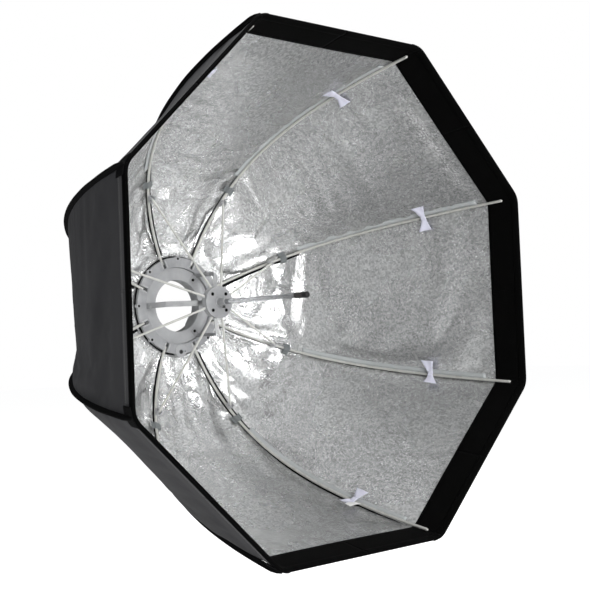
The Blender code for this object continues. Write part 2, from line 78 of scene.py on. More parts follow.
def camera_turn(azimuth, elevation, roll):
    """The camera's axes as the columns of a matrix: right, up and back."""
    flat = math.cos(elevation)
    back = Vector((math.sin(azimuth) * flat, -math.cos(azimuth) * flat, math.sin(elevation)))
    right = Vector((0, 0, 1)).cross(back).normalized()
    up = back.cross(right)
    turned_right = right * math.cos(roll) + up * math.sin(roll)
    turned_up = up * math.cos(roll) - right * math.sin(roll)
    return Matrix((turned_right, turned_up, back)).transposed()


camera_data = bpy.data.cameras.new("camera")
camera_data.lens = LENS_MM
camera_data.sensor_width = SENSOR_MM
camera_data.clip_start, camera_data.clip_end = 0.05, 50
camera = bpy.data.objects.new("camera", camera_data)
camera.matrix_world = camera_turn(AZIMUTH, ELEVATION, ROLL).to_4x4()
camera.location = CAMERA_AT
bpy.context.scene.collection.objects.link(camera)
bpy.context.scene.camera = camera
bpy.context.scene.view_settings.view_transform = "Standard"
print("lens", LENS_MM, "mm, at", CAMERA_AT)

# %% [markdown]
# ## Colours and shader nodes
#
# Colours are easier to judge as the hex values that a paint chart gives, but a shader wants linear
# light, so one function turns them. A second one adds a shader node with its settings and links.

# %% Colour and node helpers
MM = 0.001


def linear(hex_colour, alpha=1.0):
    """An sRGB hex value such as "#a8a9ab" as linear red, green, blue and alpha."""
    parts = [int(hex_colour[i : i + 2], 16) / 255 for i in (1, 3, 5)]
    light = [p / 12.92 if p <= 0.04045 else ((p + 0.055) / 1.055) ** 2.4 for p in parts]
    return (*light, alpha)


def add(tree, kind, links=None, **settings):
    """Adds a node. links gives each input, by name or number, a value or another node's output."""
    made = tree.nodes.new(kind)
    for name, value in settings.items():
        setattr(made, name, value)
    for name, value in (links or {}).items():
        if isinstance(value, bpy.types.NodeSocket):
            tree.links.new(value, made.inputs[name])
        else:
            made.inputs[name].default_value = value
    return made


def new_material(name, colour, roughness, metallic=0.0, **sockets):
    """A Principled material. It returns the material, its tree and its shader node."""
    made = bpy.data.materials.new(name)
    made.use_nodes = True
    shader = made.node_tree.nodes["Principled BSDF"]
    shader.inputs["Base Color"].default_value = linear(colour)
    shader.inputs["Roughness"].default_value = roughness
    shader.inputs["Metallic"].default_value = metallic
    for socket, value in sockets.items():
        shader.inputs[socket.replace("_", " ")].default_value = value
    return made, made.node_tree, shader


print("light grey is", [round(part, 3) for part in linear("#a8a9ab")])

# %% [markdown]
# ## Metal and plastic finishes
#
# The ring is die-cast aluminium with a satin grey powder coat: an even colour, a very fine orange
# peel, and edges where handling has thinned the coat. The shaft is drawn steel with bright chrome, so
# nearly a mirror with faint marks along it. The rods are spring steel with an ivory epoxy coat.


# %% Coated metal
def coated_metal(name, colour, worn, roughness, peel_mm):
    """Powder-coated metal: an orange-peel bump, a mottled coat, and paler where edges are rubbed."""
    made, tree, shader = new_material(name, colour, roughness, Coat_Weight=0.12)
    place = add(tree, "ShaderNodeTexCoord").outputs["Object"]
    mottle = add(tree, "ShaderNodeTexNoise", {"Vector": place, "Scale": 60, "Detail": 4})
    peel = add(tree, "ShaderNodeTexNoise", {"Vector": place, "Scale": 1 / (peel_mm * MM)})
    edge = add(tree, "ShaderNodeNewGeometry").outputs["Pointiness"]
    rubbed = add(
        tree, "ShaderNodeMapRange",
        {"Value": edge, "From Min": 0.52, "From Max": 0.60, "To Min": 0, "To Max": 0.6},
    )
    tone = add(
        tree, "ShaderNodeMapRange",
        {"Value": mottle.outputs["Fac"], "From Min": 0.3, "From Max": 0.7, "To Max": 0.22},
    )
    mottled = add(
        tree, "ShaderNodeMix",
        {"Factor": tone.outputs[0], 6: linear(colour), 7: linear(worn)}, data_type="RGBA",
    )
    mixed = add(
        tree, "ShaderNodeMix",
        {"Factor": rubbed.outputs[0], 6: mottled.outputs[2], 7: linear(worn)}, data_type="RGBA",
    )
    rough = add(
        tree, "ShaderNodeMapRange",
        {"Value": mottle.outputs["Fac"], "To Min": roughness - 0.06, "To Max": roughness + 0.06},
    )
    bump = add(
        tree, "ShaderNodeBump",
        {"Height": peel.outputs["Fac"], "Strength": 0.12, "Distance": 0.1 * MM},
    )
    tree.links.new(mixed.outputs[2], shader.inputs["Base Color"])
    tree.links.new(rough.outputs[0], shader.inputs["Roughness"])
    tree.links.new(bump.outputs[0], shader.inputs["Normal"])
    return made


POWDER_COAT = coated_metal("grey_powder_coated_casting", "#8a8b8d", "#bfc0c1", 0.38, 0.8)
TURNED_PLATE = coated_metal("satin_painted_turned_plate", "#939496", "#c6c7c8", 0.32, 0.6)
STRIP_STEEL = coated_metal("grey_painted_strip_steel", "#848587", "#d0d1d1", 0.26, 0.7)
IVORY_ROD = coated_metal("ivory_epoxy_coated_spring_steel", "#b4b4af", "#d2d2ce", 0.28, 0.7)


# %% Chrome, screws and moulded plastic
def chromed_steel(name):
    """Bright chrome over drawn steel. The marks of drawing run along the shaft, which lies along Y."""
    made, tree, shader = new_material(name, "#a6a7a9", 0.12, 1.0)
    place = add(tree, "ShaderNodeTexCoord").outputs["Object"]
    along = add(tree, "ShaderNodeMapping", {"Vector": place, "Scale": (1, 0.02, 1)})
    marks = add(tree, "ShaderNodeTexNoise", {"Vector": along.outputs[0], "Scale": 1500})
    rough = add(
        tree, "ShaderNodeMapRange", {"Value": marks.outputs["Fac"], "To Min": 0.06, "To Max": 0.24}
    )
    tree.links.new(rough.outputs[0], shader.inputs["Roughness"])
    return made


def blackened_steel(name):
    """Oil-blackened screws: a dark metal with a dull, slightly brown bloom."""
    made, tree, shader = new_material(name, "#17171a", 0.38, 0.9)
    place = add(tree, "ShaderNodeTexCoord").outputs["Object"]
    bloom = add(tree, "ShaderNodeTexNoise", {"Vector": place, "Scale": 900, "Detail": 3})
    mixed = add(
        tree, "ShaderNodeMix",
        {"Factor": bloom.outputs["Fac"], 6: linear("#0d0d0f"), 7: linear("#2b2826")},
        data_type="RGBA",
    )
    tree.links.new(mixed.outputs[2], shader.inputs["Base Color"])
    return made


def moulded_plastic(name, colour, roughness):
    """Injection-moulded nylon or ABS with a spark-eroded grain of about half a millimetre."""
    made, tree, shader = new_material(name, colour, roughness)
    place = add(tree, "ShaderNodeTexCoord").outputs["Object"]
    grain = add(tree, "ShaderNodeTexVoronoi", {"Vector": place, "Scale": 1 / (0.5 * MM)})
    bump = add(
        tree, "ShaderNodeBump",
        {"Height": grain.outputs["Distance"], "Strength": 0.25, "Distance": 0.05 * MM},
    )
    tree.links.new(bump.outputs[0], shader.inputs["Normal"])
    return made


CHROME = chromed_steel("bright_chromed_steel_shaft")
SCREW_BLACK = blackened_steel("oil_blackened_screw_steel")
BLACK_NYLON = moulded_plastic("black_moulded_nylon", "#141416", 0.48)
BROWN_SLEEVE = moulded_plastic("dark_brown_shrink_sleeve", "#3a3634", 0.4)
print("metal and plastic finishes made")

# %% [markdown]
# ## Cloth finishes
#
# Outside, the box is a plain-weave polyester in charcoal. Inside, the same cloth carries a metallised
# film, finely crazed from folding, so its grains catch the light one by one; the grains that miss the
# light are also painted darker in the base colour, as painted glint speckle. The lip and the tapes are
# black. Patterns follow the piece's UV map, which is in metres along and across the cloth, so the weave
# stays put when the box folds. Real threads are 0.3 mm apart, too fine to show, so the weave is drawn at
# 1.2 mm.


# %% Woven cloth
def woven(name, colour, thread, roughness, spacing_mm, depth_mm=0.12, sheen=0.3, specular=0.3):
    """A plain weave: two sets of threads at right angles, in a colour that wanders a little."""
    made, tree, shader = new_material(
        name, colour, roughness, Sheen_Weight=sheen, Sheen_Roughness=0.5,
        Specular_IOR_Level=specular,
    )
    place = add(tree, "ShaderNodeTexCoord").outputs["UV"]
    waves = []
    for axis in ("X", "Y"):
        wave = add(
            tree, "ShaderNodeTexWave",
            {"Vector": place, "Scale": math.pi / 10 / (spacing_mm * MM), "Distortion": 0.6},
            bands_direction=axis,
        )
        waves.append(wave.outputs["Fac"])
    weave = add(tree, "ShaderNodeMath", {0: waves[0], 1: waves[1]}, operation="MULTIPLY")
    shade = add(tree, "ShaderNodeTexNoise", {"Vector": place, "Scale": 14, "Detail": 5})
    tone = add(
        tree, "ShaderNodeMapRange",
        {"Value": shade.outputs["Fac"], "From Min": 0.3, "From Max": 0.7, "To Max": 0.5},
    )
    mixed = add(
        tree, "ShaderNodeMix",
        {"Factor": tone.outputs[0], 6: linear(colour), 7: linear(thread)}, data_type="RGBA",
    )
    bump = add(
        tree, "ShaderNodeBump",
        {"Height": weave.outputs[0], "Strength": 0.5, "Distance": depth_mm * MM},
    )
    tree.links.new(mixed.outputs[2], shader.inputs["Base Color"])
    tree.links.new(bump.outputs[0], shader.inputs["Normal"])
    return made


CHARCOAL = woven("charcoal_polyester_plain_weave", "#3b3b3e", "#4a4a4d", 0.72, 1.2, sheen=0.1)
LIP_BLACK = woven(
    "black_brushed_polyester", "#010101", "#030303", 0.95, 1.4, sheen=0.0, specular=0.08
)
TAPE_BLACK = woven(
    "black_grosgrain_tape", "#070708", "#101011", 0.85, 1.6, 0.25, sheen=0.0, specular=0.15
)
GREY_WEBBING = woven("grey_polyester_webbing", "#6a6e6f", "#8b9090", 0.7, 1.6, 0.25, sheen=0.1)
HEM_CLOTH = woven("charcoal_hem_weave", "#323235", "#414144", 0.74, 1.2)
WHITE_RIBBON = woven("white_nylon_ribbon", "#d9d9ea", "#ececf6", 0.45, 1.0, 0.06)
LABEL_WHITE = woven("white_satin_label", "#e2e2e0", "#f2f2f0", 0.4, 0.8, 0.04)


# %% Metallised lining
def metallised_lining(name):
    """Aluminised film on cloth. Its crazing tilts small grains this way and that. Random grains are also
    darkened in the base colour as painted glint speckle, standing in for grains that reflect no light.

    Real grains are about 1 mm wide, too fine to show, so they are drawn at about 3 mm.
    """
    made, tree, shader = new_material(name, "#d0d2d2", 0.26, 0.80)
    place = add(tree, "ShaderNodeTexCoord").outputs["UV"]
    grain = add(
        tree, "ShaderNodeTexNoise",
        {"Vector": place, "Scale": 1 / (3.2 * MM), "Detail": 1, "Roughness": 0.6},
    )
    crazing = add(
        tree, "ShaderNodeTexVoronoi", {"Vector": place, "Scale": 1 / (3.0 * MM)}, feature="F1"
    )
    patches = add(tree, "ShaderNodeTexNoise", {"Vector": place, "Scale": 9, "Detail": 6})
    rubbed = add(tree, "ShaderNodeTexNoise", {"Vector": place, "Scale": 40, "Detail": 4})
    cell_tone = add(tree, "ShaderNodeSeparateColor", {"Color": crazing.outputs["Color"]})
    base = add(
        tree, "ShaderNodeMix",
        {"Factor": patches.outputs["Fac"], 6: linear("#dadbdb"), 7: linear("#ededed")},
        data_type="RGBA",
    )
    # painted glint speckle: random grains are darkened towards #848686 to stand in for grains that miss
    # the light
    dull = add(
        tree, "ShaderNodeMapRange",
        {"Value": cell_tone.outputs[0], "From Min": 0.0, "From Max": 1.0,
         "To Min": 0.0, "To Max": 0.62},
    )
    colour = add(
        tree, "ShaderNodeMix",
        {"Factor": dull.outputs[0], 6: base.outputs[2], 7: linear("#848686")}, data_type="RGBA",
    )
    rough = add(
        tree, "ShaderNodeMapRange",
        {"Value": patches.outputs["Fac"], "From Min": 0.3, "From Max": 0.7,
         "To Min": 0.20, "To Max": 0.32},
    )
    depth = add(
        tree, "ShaderNodeMapRange",
        {"Value": rubbed.outputs["Fac"], "From Min": 0.35, "From Max": 0.65,
         "To Min": 0.6, "To Max": 1.0},
    )
    coarse = add(
        tree, "ShaderNodeBump",
        {"Height": grain.outputs["Fac"], "Strength": depth.outputs[0], "Distance": 1.15 * MM},
    )
    tree.links.new(colour.outputs[2], shader.inputs["Base Color"])
    tree.links.new(rough.outputs[0], shader.inputs["Roughness"])
    tree.links.new(coarse.outputs[0], shader.inputs["Normal"])
    return made


SILVER = metallised_lining("metallised_film_lining")
SEAM_SILVER = woven("silver_grey_seam_tape", "#a9adae", "#c3c6c6", 0.45, 1.2, 0.1)
print("cloth finishes made")

# %% [markdown]
# ## The shape that everything follows
#
# A rib is one smooth curve from its hinge to its tip. The cloth hangs on eight of them and runs
# nearly flat from rib to rib, drawn in a little at its middle. So one function for the rib and one
# for the cloth give the place of every seam, tape and tab in this lesson. A share of 0 is at the
# hinge and 1 at the rib's tip, and what is past 1 is in metres beyond it.

# %% Rib and cloth formulas
SIDES = 8
STEP = math.radians(360 / SIDES)
HALF_STEP = STEP / 2
HINGE = Vector((0.080, 0.026))  # the ribs' hinge as (radius, depth); depth is towards -Y
RIB_CURVE = [Vector(point) for point in ((0, 0), (0.204, 0.014), (0.291, 0.174), (0.343, 0.466))]
ROD_R = 0.0025
SEAM_OFFSET = 0.0055  # the cloth lies this far outside the ribs' centre lines
CLOTH_START, LIP_START, LIP_END = 0.022, 0.964, 1.026  # shares
CLOTH_DIP = 0.010  # how far a gore's middle is drawn in
ROUND_MOUTH_TO = 0.30  # near the ring the cloth is round, and past this share it has eight flat sides
CORNER_ROUND, CORNER_FROM = 0.030, 0.92  # the front corners' radius, and the share where it starts


def rib_at(share):
    """(radius, depth) of the rib's centre line."""
    a, b, c, d = RIB_CURVE
    rest = 1 - share
    bent = rest**3 * a + 3 * rest**2 * share * b + 3 * rest * share**2 * c + share**3 * d
    return HINGE + bent


def rib_slope(share):
    """The rib's direction, with a third of its metres per share as length."""
    a, b, c, d = RIB_CURVE
    rest = 1 - share
    return rest**2 * (b - a) + 2 * rest * share * (c - b) + share**2 * (d - c)


def seam_at(share, outwards=SEAM_OFFSET):
    """(radius, depth) on the cloth at a rib, or nearer to the rib or further out."""
    inside = min(share, 1)
    along = rib_slope(inside).normalized()
    out = Vector((along.y, -along.x))
    return rib_at(inside) + outwards * out + max(share - 1, 0) * along


def rib_angle(number):
    return HALF_STEP + STEP * (number - 1)


def gore_angle(number):
    return STEP * number


def to_world(radial, sideways, depth, angle):
    """The place at this angle round the softbox's axis, which is Y."""
    c, s = math.cos(angle), math.sin(angle)
    return Vector((radial * c - sideways * s, -depth, radial * s + sideways * c))


def in_rib_plane(flat, angle, sideways=0.0):
    """The place of a (radius, depth) pair in the plane at this angle, or sideways of it."""
    return to_world(flat.x, sideways, flat.y, angle)


def smooth_step(value, low, high):
    share = min(max((value - low) / (high - low), 0.0), 1.0)
    return share * share * (3 - 2 * share)


def gore_at(share, across, number):
    """A point of the cloth. across runs from -1 at the gore's first rib to 1 at its second."""
    seam = seam_at(share)
    half_width = seam.x * math.sin(HALF_STEP)
    dip = CLOTH_DIP * math.sin(math.pi * min(share, 1)) * (1 - across**2)
    past = max(abs(across) * half_width - (half_width - CORNER_ROUND * math.tan(HALF_STEP)), 0)
    corner = past**2 / (2 * CORNER_ROUND) * smooth_step(share, CORNER_FROM, 1)
    flat = Vector((seam.x * math.cos(HALF_STEP) - dip - corner, across * half_width))
    round_share = max(0.0, 1 - share / ROUND_MOUTH_TO) ** 2
    flat = flat.lerp(flat.normalized() * seam.x, round_share)
    return to_world(flat.x, flat.y, seam.y, gore_angle(number))


def gore_out(share, across, number):
    """The cloth's outward direction, from two short steps over it."""
    step = 0.004
    here = gore_at(share, across, number)
    along = gore_at(share + step, across, number) - here
    side = gore_at(share, across + step, number) - here
    return side.cross(along).normalized()


rim = gore_at(LIP_END, 0, 2)
print("the front edge is", round(rim.length, 3), "m from the origin; outward", gore_out(0.5, 0, 2))

# %% [markdown]
# ## Making shapes
#
# Rods, tapes, hems and straps are all one kind of shape: an outline carried along a path. So one
# function takes the outline as a first face and extrudes it from place to place. A finished object
# sits at the origin, unturned, with its place in its mesh.


# %% Mesh helpers
def as_object(name, shape, *materials, smooth_to=40):
    """The bmesh as an object with its faces out. It frees the bmesh."""
    bmesh.ops.recalc_face_normals(shape, faces=shape.faces)
    data = bpy.data.meshes.new(name)
    shape.to_mesh(data)
    shape.free()
    data.shade_smooth()
    data.set_sharp_from_angle(angle=math.radians(smooth_to))
    made = bpy.data.objects.new(name, data)
    for material in materials:
        data.materials.append(material)
    bpy.context.scene.collection.objects.link(made)
    return made


def extrude_rings(shape, rings):
    """A closed solid from rings of points: the first ring becomes a face and is extruded to the rest."""
    end = shape.faces.new([shape.verts.new(point) for point in rings[0]])
    places = [vert.co.copy() for vert in end.verts]
    for ring in rings[1:]:
        pushed = bmesh.ops.extrude_face_region(shape, geom=[end])["geom"]
        end = next(item for item in pushed if isinstance(item, bmesh.types.BMFace))
        order = [
            min(range(len(ring)), key=lambda i: (places[i] - vert.co).length_squared)
            for vert in end.verts
        ]
        for i, vert in zip(order, end.verts):
            vert.co = ring[i]
        places = [Vector(point) for point in ring]
    return shape


def add_uv(shape, coordinate_of):
    """Gives each corner of each face its UV, in metres, from its vertex."""
    layer = shape.loops.layers.uv.verify()
    for face in shape.faces:
        for loop in face.loops:
            loop[layer].uv = coordinate_of(loop.vert)


def round_ring(centre, side, up, radius, count=14):
    """Points round a path: side and up are the two directions across it."""
    turns = [2 * math.pi * i / count for i in range(count)]
    return [centre + radius * (math.cos(t) * side + math.sin(t) * up) for t in turns]


def rod(name, path, radii, sideways, material, body, count=14):
    """A round rod along a path that lies in the plane across sideways."""
    rings = []
    for i, here in enumerate(path):
        before, after = path[max(i - 1, 0)], path[min(i + 1, len(path) - 1)]
        up = (after - before).normalized().cross(sideways)
        rings.append(round_ring(here, sideways, up, radii[i], count))
    made = as_object(name, extrude_rings(bmesh.new(), rings), material)
    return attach(made, body)


# %% [markdown]
# ## Ribs
#
# A rib is a spring rod, straight in the bag and bent by the cloth when the box opens. Its root is
# formed into an eye on the hinge wire and its tip is ground round. It could be a curve object with a
# bevel, but a rounded tip and an eye need a mesh in the end, so the rod is swept as one.


# %% Rib rods
def eye(name, centre, sideways, up, hole_r, wire_r, material, body):
    """The loop at a rod's end: a ring of rod round a wire that runs along sideways."""
    shape = bmesh.new()
    out = sideways.cross(up).normalized()
    middle = hole_r + wire_r
    turn = Matrix((out, sideways, up)).transposed().to_4x4()
    where = Matrix.Translation(centre) @ turn
    circle = bmesh.ops.create_circle(
        shape, segments=12, radius=wire_r,
        matrix=where @ Matrix.Translation((middle, 0, 0)),
    )
    edges = list({edge for vert in circle["verts"] for edge in vert.link_edges})
    bmesh.ops.rotate(
        shape, verts=circle["verts"], cent=where @ Vector((middle, 0, 0)),
        matrix=Matrix.Rotation(math.radians(90), 3, out),
    )
    bmesh.ops.spin(
        shape, geom=circle["verts"] + edges, cent=centre, axis=sideways,
        angle=math.radians(360), steps=20, use_merge=True,
    )
    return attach(as_object(name, shape, material), body)


RIB_STEPS = 72
ROD_START, ROD_SHARE = 0.0045, 0.992  # the rod starts past its eye and ends in a rounded tip
TIP_SHARES, TIP_ROUND = [0.9980, 0.9990, 1.0], [0.92, 0.7, 0.25]
EYE_HOLE_R, RIB_EYE_WIRE_R = 0.0013, 0.0011
for number in range(1, SIDES + 1):
    angle = rib_angle(number)
    sideways = to_world(0, 1, 0, angle)
    shares = [ROD_START + ROD_SHARE * i / RIB_STEPS for i in range(RIB_STEPS + 1)] + TIP_SHARES
    path = [in_rib_plane(rib_at(share), angle) for share in shares]
    radii = [ROD_R] * (RIB_STEPS + 1) + [ROD_R * part for part in TIP_ROUND]
    body = f"rib_{number}"
    rib = rod(f"rib_rod_{number}", path, radii, sideways, IVORY_ROD, body)
    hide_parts(body)
    root_eye = eye(
        f"rib_eye_{number}", in_rib_plane(HINGE, angle), sideways, to_world(1, 0, 0, angle),
        EYE_HOLE_R, RIB_EYE_WIRE_R, IVORY_ROD, body,
    )
print("ribs:", SIDES, "of", round(sum((b - a).length for a, b in zip(path, path[1:])), 3), "m")

# %% [markdown]
# ## Stretchers and their pins
#
# Each stretcher is a straight thinner rod from the runner to a small fork on its rib. Where it
# meets the fork its end is pressed into a short sleeve, and a rivet goes through the fork's ears.

# %% Stretcher rods
STRETCHER_R, STRETCHER_EYE_WIRE_R = 0.002024, 0.0009
RUNNER_PIVOT = Vector((0.0255, 0.1520))  # (radius, depth)
FORK_SHARE, FORK_OFFSET = 0.249, 0.0125
RIVET_R, RIVET_HALF = 0.0017, 0.0042
fork_along = rib_slope(FORK_SHARE).normalized()
FORK_PIVOT = rib_at(FORK_SHARE) + FORK_OFFSET * Vector((-fork_along.y, fork_along.x))


def rivet(name, centre, axis, radius, half_length, material, body):
    """A pin with a low domed head at each end."""
    profile = [
        (0.35, half_length + 0.0006), (0.8, half_length + 0.0004), (1.0, half_length),
        (0.55, half_length - 0.0002),
    ]
    heads = [(share * radius, reach) for share, reach in profile]
    outline = [(r, -z) for r, z in heads] + [(r, z) for r, z in reversed(heads)]
    side = axis.orthogonal().normalized()
    up = axis.cross(side)
    rings = [round_ring(centre + axis * z, side, up, r, 12) for r, z in outline]
    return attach(as_object(name, extrude_rings(bmesh.new(), rings), material), body)


for number in range(1, SIDES + 1):
    angle = rib_angle(number)
    sideways = to_world(0, 1, 0, angle)
    start, end = in_rib_plane(RUNNER_PIVOT, angle), in_rib_plane(FORK_PIVOT, angle)
    along = (end - start).normalized()
    up = along.cross(sideways)
    body = f"stretcher_{number}"
    reach = (end - start).length
    stations = [  # (distance from the runner, share of the radius), with the sleeve at the end
        (0.0030, 1.0), (0.3 * reach, 1.0), (0.7 * reach, 1.0), (reach - 0.0162, 1.0),
        (reach - 0.0155, 1.12), (reach - 0.0015, 1.12), (reach + 0.0015, 0.95),
        (reach + 0.0022, 0.55),
    ]
    rings = [
        round_ring(start + along * at, sideways, up, STRETCHER_R * share)
        for at, share in stations
    ]
    piece = as_object(f"stretcher_rod_{number}", extrude_rings(bmesh.new(), rings), IVORY_ROD)
    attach(piece, body)
    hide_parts(body)
    eye(
        f"stretcher_eye_{number}", start, sideways, up, EYE_HOLE_R, STRETCHER_EYE_WIRE_R,
        IVORY_ROD, body,
    )
    pin = rivet(
        f"fork_rivet_{number}", end, sideways, RIVET_R, RIVET_HALF, CHROME, f"rib_{number}"
    )
print("stretchers:", SIDES, "of", round(reach, 3), "m")

# %% [markdown]
# ## Ring, bracket and runner
#
# These castings and pressings have the right shape in the frame already, but every edge there is
# razor sharp. Nothing cast or painted is, so a copy of each is merged, its flat faces are joined and
# its edges get a small bevel, which then catches a line of light.

# %% Softened copies
made_on = {
    node: body
    for body, members in frame["record"]["behaviour"]["bodies"].items()
    for node in members
}


def softened(node, bevel, material):
    """A copy of a hard part with its loose triangles merged and its edges rounded."""
    shape = bmesh.new()
    shape.from_mesh(frame["nodes"][node].data)
    bmesh.ops.remove_doubles(shape, verts=shape.verts, dist=0.00002)
    bmesh.ops.dissolve_limit(
        shape, angle_limit=math.radians(1), verts=shape.verts, edges=shape.edges
    )
    sharp = [
        edge for edge in shape.edges
        if len(edge.link_faces) == 2 and edge.calc_face_angle() > math.radians(38)
    ]
    bmesh.ops.bevel(
        shape, geom=sharp, offset=bevel, affect="EDGES", segments=2, profile=0.5, material=-1,
        clamp_overlap=True,
    )
    bmesh.ops.triangulate(shape, faces=[face for face in shape.faces if len(face.verts) > 4])
    made = as_object(node + "_finished", shape, material, smooth_to=30)
    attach(made, made_on[node])
    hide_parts(node)


softened("front_flange", 0.5 * MM, POWDER_COAT)
softened("rear_ring", 0.6 * MM, POWDER_COAT)
softened("bayonet_plate", 0.4 * MM, TURNED_PLATE)
softened("shaft_socket", 0.5 * MM, POWDER_COAT)
softened("runner_rear_plate", 0.5 * MM, POWDER_COAT)
softened("runner_front_plate", 0.6 * MM, POWDER_COAT)
softened("runner_collar", 0.5 * MM, POWDER_COAT)
softened("latch_button", 0.4 * MM, BLACK_NYLON)
# The hem is a real part, but its black tape colour is painted shadow for the shaded gap between the ring
# and the cloth.
softened("throat_hem", 0.4 * MM, TAPE_BLACK)
for side in ("left", "upper", "lower"):
    softened(f"bracket_leg_{side}", 0.3 * MM, STRIP_STEEL)
for number in range(1, SIDES + 1):
    softened(f"stretcher_fork_{number}", 0.3 * MM, POWDER_COAT)
for node in ("rib_hinge_wire", "stretcher_wire"):
    frame["nodes"][node].data.materials.clear()
    frame["nodes"][node].data.materials.append(CHROME)
print("softened copies made")

# %% [markdown]
# ## Shaft, cap and screws
#
# Turned parts start as one ring of points that is carried along the axis, with a ring for each
# change of radius. The screws are socket-heads: the recess is the same idea, carried back inwards.


# %% Turned parts
def turned(name, profile, centre, axis, material, body, count=32):
    """A turned part. The profile is a list of (radius, distance along the axis)."""
    side = axis.orthogonal().normalized()
    up = axis.cross(side)
    rings = [round_ring(centre + axis * z, side, up, max(r, 0.0001), count) for r, z in profile]
    made = as_object(name, extrude_rings(bmesh.new(), rings), material, smooth_to=35)
    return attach(made, body)


FORWARD = Vector((0, -1, 0))
ORIGIN = Vector((0, 0, 0))
shaft_low, shaft_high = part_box("shaft")
cap_low, cap_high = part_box("shaft_cap")
SHAFT_R, CAP_R = shaft_high.x, cap_high.x
shaft = turned(
    "shaft_tube",
    [(SHAFT_R * 0.9, -shaft_high.y), (SHAFT_R, -shaft_high.y + 0.0006), (SHAFT_R, -shaft_low.y)],
    ORIGIN, FORWARD, CHROME, "speedring", 40,
)
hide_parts("shaft")
cap_from, cap_to = -cap_high.y, -cap_low.y
sleeve_to = cap_from + 0.020
turned(
    "shaft_sleeve",
    [(CAP_R * 0.9, cap_from), (CAP_R * 0.96, cap_from + 0.0004), (CAP_R * 0.96, sleeve_to)],
    ORIGIN, FORWARD, BROWN_SLEEVE, "speedring",
)
cap = turned(
    "shaft_end_cap",
    [(CAP_R * 0.94, sleeve_to), (CAP_R, sleeve_to + 0.0005), (CAP_R, cap_to - 0.0024),
     (CAP_R * 0.93, cap_to - 0.0012), (CAP_R * 0.75, cap_to - 0.0004), (CAP_R * 0.4, cap_to)],
    ORIGIN, FORWARD, BLACK_NYLON, "speedring",
)
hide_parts("shaft_cap")
collar_back = -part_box("runner_collar")[1].y
turned(
    "collar_base_ring",
    [(0.0074, collar_back - 0.0001), (0.0092, collar_back), (0.0098, collar_back + 0.0006),
     (0.0092, collar_back + 0.0013), (0.0074, collar_back + 0.0014)],
    ORIGIN, FORWARD, TURNED_PLATE, "runner",
)
print("shaft, sleeve, cap and the collar's ring turned")


# %% Screws and the bush of the umbrella-rod hole
FLANGE_FRONT, LOBE_AT, BOSS_LOBE = 0.0310, 0.0885, 6
LEG_SCREW_DEPTH, LEG_SCREW_AT, LEG_ANGLES = 0.0265, 0.0600, (180, 54, -54)
ROD_HOLE_AT, BUSH_R, BUSH_BACK = 0.0870, 0.0040, 0.0236
SCREW_SUNK = 0.0012  # how far a ring screw's head starts below the flange's front


def socket_screw(name, centre, radius, height, body):
    """A low head with a chamfer and a deep socket, facing forward."""
    profile = [
        (radius, 0), (radius, height * 0.75), (radius * 0.88, height), (radius * 0.55, height),
        (radius * 0.5, height * 0.9), (radius * 0.5, height * 0.15),
    ]
    return turned(name, profile, centre, FORWARD, SCREW_BLACK, body, 18)


lobes = [lobe for lobe in range(SIDES) if lobe != BOSS_LOBE]
for i, lobe in enumerate(lobes):
    centre = to_world(LOBE_AT, 0, FLANGE_FRONT - SCREW_SUNK, STEP * lobe)
    socket_screw(f"ring_screw_{i + 1}", centre, 0.0025, 0.0019, "speedring")
turned(
    "umbrella_rod_bush",
    [(BUSH_R * 0.8, BUSH_BACK), (BUSH_R, BUSH_BACK + 0.0001), (BUSH_R, FLANGE_FRONT + 0.0003),
     (BUSH_R * 0.86, FLANGE_FRONT + 0.0005), (BUSH_R * 0.78, FLANGE_FRONT),
     (BUSH_R * 0.76, BUSH_BACK + 0.0004)],
    to_world(ROD_HOLE_AT, 0, 0, STEP * BOSS_LOBE), FORWARD, BLACK_NYLON, "speedring",
    24,
)
for i, angle in enumerate(LEG_ANGLES):
    centre = to_world(LEG_SCREW_AT, 0, LEG_SCREW_DEPTH, math.radians(angle))
    socket_screw(f"leg_screw_{i + 1}", centre, 0.0028, 0.0016, "speedring")
plate_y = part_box("runner_front_plate")[0].y
for number in range(1, 5):
    low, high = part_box(f"runner_screw_{number}")
    centre = Vector(((low.x + high.x) / 2, plate_y + 0.0004, (low.z + high.z) / 2))
    head = socket_screw(f"runner_screw_head_{number}", centre, 0.0031, 0.0012, "runner")
    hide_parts(f"runner_screw_{number}")
print("screws:", len(lobes), "on the ring, 3 on the legs, 4 on the runner")

# %% [markdown]
# ## Cutting the cloth
#
# One gore is the panel between two ribs. It starts as a grid that is put on the cloth's formula.
# A real panel is cut a little larger than the gap that it fills, so it creases: long soft folds that
# run from seam to seam, sharp crumples where it is gathered round the ring, and almost none at the
# stiff front lip. The first creases are drawn in with noise, and then a cloth simulation, pinned along
# its four sides, lets the panel sag and share out its slack as real cloth would.

# %% Crease formulas
CLOTH_LENGTH = 0.63  # metres of cloth per share
CROSS_RIDGE, CROSS_AT, CROSS_WIDE = 0.009, 0.315, 0.15  # a crease across between the stretchers


def crumple(place, size, octaves=3):
    """Height of a crushed sheet: smooth hollows with sharp ridges between them, from -1 to 1."""
    total, weight, spot = 0.0, 1.0, place / size
    for _ in range(octaves):
        total += weight * (1 - 2.6 * abs(noise.noise(spot)))
        weight *= 0.45
        spot = spot * 2.1 + Vector((3.7, 1.9, 8.3))
    return total / 1.7


def facets(place, size):
    """Height over a crushed sheet's flat facets: how far a point is from its cell's nearest edge."""
    distances, points = noise.voronoi(place / size, distance_metric="DISTANCE_SQUARED")
    apart = max((points[1] - points[0]).length, 0.2)
    return size * min((distances[1] - distances[0]) / (2 * apart), 0.6)


def edge_hold(share, across):
    """0 where the cloth is sewn down and 1 where it is free."""
    sides = smooth_step(1 - abs(across), 0.0, 0.30)
    return sides * smooth_step(share, 0.03, 0.07) * (1 - smooth_step(share, 0.82, 0.93))


